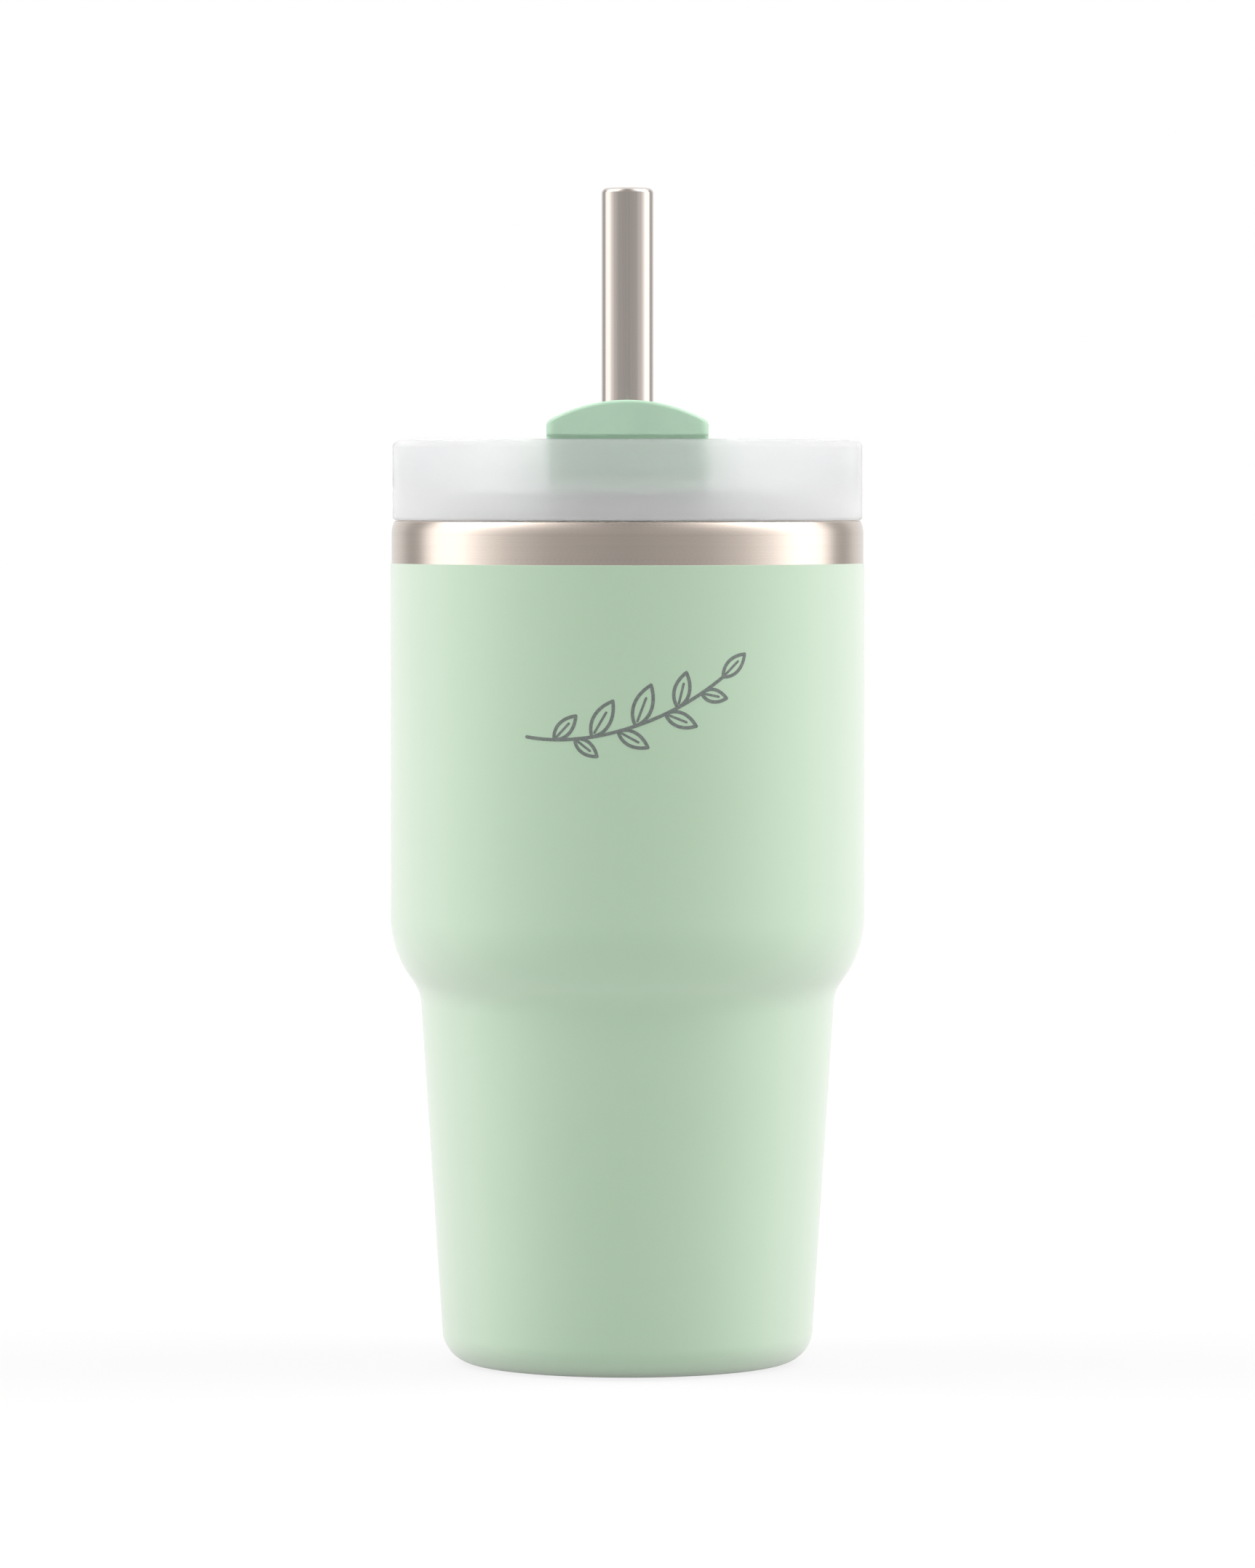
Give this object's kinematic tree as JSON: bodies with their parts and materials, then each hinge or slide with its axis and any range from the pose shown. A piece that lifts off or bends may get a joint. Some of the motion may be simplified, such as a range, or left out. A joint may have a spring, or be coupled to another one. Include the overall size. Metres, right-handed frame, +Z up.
{
  "type": "insulated travel tumbler",
  "caption": "Double-wall stainless travel tumbler with a stepped coated body, press-in frosted lid, turning sip cover and straight steel straw.",
  "frame": {"origin": "on the tumbler's axis, at the plane of the ring it stands on", "axes": "+Z up the axis towards the straw's tip, -Y towards the front, where the cover's thumb tab and the sip opening are"},
  "size_m": [0.089, 0.089, 0.2207],
  "materials": {
    "powder_coat": "pale green powder coat, fine satin texture",
    "outer_steel": "brushed round the axis",
    "base_steel": "spun, with fine rings",
    "port_glass": "sealing glass bead",
    "getter": "pressed grey powder",
    "clip_steel": "bright strip",
    "copper": "bright copper foil",
    "liner_steel": "electropolished",
    "frosted_lid": "frosted translucent polypropylene",
    "clear_silicone": "translucent silicone",
    "cover_green": "moulded, fine satin",
    "pale_silicone": "soft matte silicone",
    "dark_rubber": "dark seal rubber",
    "ring_plastic": "natural white nylon",
    "straw_steel": "polished tube with faint draw lines"
  },
  "bodies": {
    "vessel": {"powder_coat": "powder_coat", "outer_shell": "outer_steel", "base_pan": "base_steel", "base_cover": "base_steel", "port_seal": "port_glass", "getter": "getter", "getter_clip": "clip_steel", "copper_foil": "copper", "liner_wall": "liner_steel", "liner_bottom": "liner_steel"},
    "lid": {"lid_shell": "frosted_lid", "lid_gasket": "clear_silicone"},
    "cover": {"rotating_cover": "cover_green", "sip_pad": "pale_silicone", "straw_grommet": "pale_silicone", "hub_seal": "dark_rubber", "retainer_ring": "ring_plastic"},
    "straw": {"straw_tube": "straw_steel"}
  },
  "joints": [
    {"name": "lid_lift", "type": "slide", "parent": "vessel", "child": "lid", "axis": [0, 0, 1], "range_m": [0, 0.16]},
    {"name": "cover_turn", "type": "hinge", "parent": "lid", "child": "cover", "pos_m": [0, 0, 0.1648], "axis": [0, 0, 1], "range_deg": [-90, 90]},
    {"name": "straw_slide", "type": "slide", "parent": "cover", "child": "straw", "axis": [0, 0, 1], "range_m": [0, 0.17]}
  ]
}
